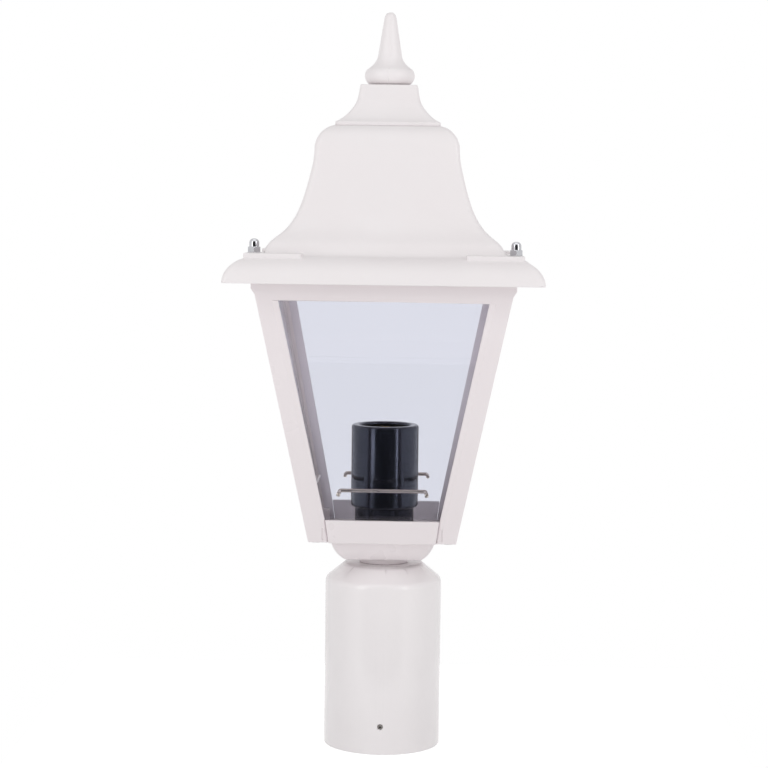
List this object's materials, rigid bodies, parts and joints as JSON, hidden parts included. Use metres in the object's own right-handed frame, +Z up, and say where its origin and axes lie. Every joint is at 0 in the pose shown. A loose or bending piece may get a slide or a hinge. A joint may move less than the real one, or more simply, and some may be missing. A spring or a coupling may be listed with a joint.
{
  "type": "post top lantern",
  "caption": "Square tapered garden lantern head with a coved roof, clear panes and a round sleeve that slips over a post.",
  "frame": {"origin": "middle of the open lower end of the round post sleeve", "axes": "+Z up along the post, front with the two domed nuts towards -Y, +X to the right seen from the front"},
  "size_m": [0.1832, 0.1832, 0.4433],
  "materials": {
    "body_white": "die cast, gloss white powder coat",
    "roof_white": "die cast, satin white powder coat",
    "clear_pane": "clear flat sheet",
    "zinc_wire": "bright zinc plated drawn wire",
    "black_phenolic": "moulded, glossy",
    "white_ceramic": "fired, unglazed",
    "contact_brass": "pressed sheet and turned",
    "zinc_steel": "bright zinc plated",
    "polished_chrome": "polished plate",
    "dark_steel": "plain grub screw steel"
  },
  "bodies": {
    "lantern": {"post_sleeve": "body_white", "neck_ring": "body_white", "bowl": "body_white", "tray": "body_white", "lantern_frame": "body_white", "pane_front": "clear_pane", "pane_right": "clear_pane", "pane_rear": "clear_pane", "pane_left": "clear_pane", "pane_wire_front": "zinc_wire", "pane_wire_right": "zinc_wire", "pane_wire_rear": "zinc_wire", "pane_wire_left": "zinc_wire", "holder_base": "black_phenolic", "holder_insert": "white_ceramic", "lamp_thread": "contact_brass", "side_contact": "contact_brass", "terminal_screws": "contact_brass", "tube_washer": "zinc_steel", "tube_nut_lower": "zinc_steel", "tube_nut_upper": "zinc_steel", "threaded_tube": "zinc_steel", "foot_screws": "zinc_steel", "roof_studs": "zinc_steel", "roof_pins": "zinc_steel"},
    "roof": {"roof": "roof_white", "roof_cap": "roof_white", "finial_stud": "zinc_steel", "finial_nut": "zinc_steel", "finial_washer": "zinc_steel"},
    "finial": {"finial": "roof_white"},
    "domed_nut_left": {"domed_nut_left": "polished_chrome"},
    "domed_nut_right": {"domed_nut_right": "polished_chrome"},
    "set_screw_front": {"set_screw_front": "dark_steel"},
    "set_screw_right": {"set_screw_right": "dark_steel"},
    "set_screw_left": {"set_screw_left": "dark_steel"},
    "holder_shell": {"holder_shell": "black_phenolic"},
    "centre_contact": {"centre_contact": "contact_brass"}
  },
  "joints": [
    {"name": "roof_lift", "type": "slide", "parent": "lantern", "child": "roof", "axis": [0, 0, 1], "range_m": [0, 0.06]},
    {"name": "finial_turn", "type": "hinge", "parent": "roof", "child": "finial", "pos_m": [0, 0, 0.3997], "axis": [0, 0, 1], "continuous": true},
    {"name": "domed_nut_left_turn", "type": "hinge", "parent": "roof", "child": "domed_nut_left", "pos_m": [-0.0757, -0.057, 0.3004], "axis": [0, 0, 1], "continuous": true},
    {"name": "domed_nut_right_turn", "type": "hinge", "parent": "roof", "child": "domed_nut_right", "pos_m": [0.0757, -0.057, 0.3004], "axis": [0, 0, 1], "continuous": true},
    {"name": "set_screw_front_in", "type": "slide", "parent": "lantern", "child": "set_screw_front", "axis": [0, 1, 0], "range_m": [0, 0.002]},
    {"name": "set_screw_right_in", "type": "slide", "parent": "lantern", "child": "set_screw_right", "axis": [-0.866, -0.5, 0], "range_m": [0, 0.002]},
    {"name": "set_screw_left_in", "type": "slide", "parent": "lantern", "child": "set_screw_left", "axis": [0.866, -0.5, 0], "range_m": [0, 0.002]},
    {"name": "holder_shell_turn", "type": "hinge", "parent": "lantern", "child": "holder_shell", "pos_m": [0, 0, 0.172], "axis": [0, 0, 1], "continuous": true},
    {"name": "contact_press", "type": "slide", "parent": "lantern", "child": "centre_contact", "axis": [0, 0, -1], "range_m": [0, 0.0012], "stiffness_N_per_m": 1500}
  ]
}
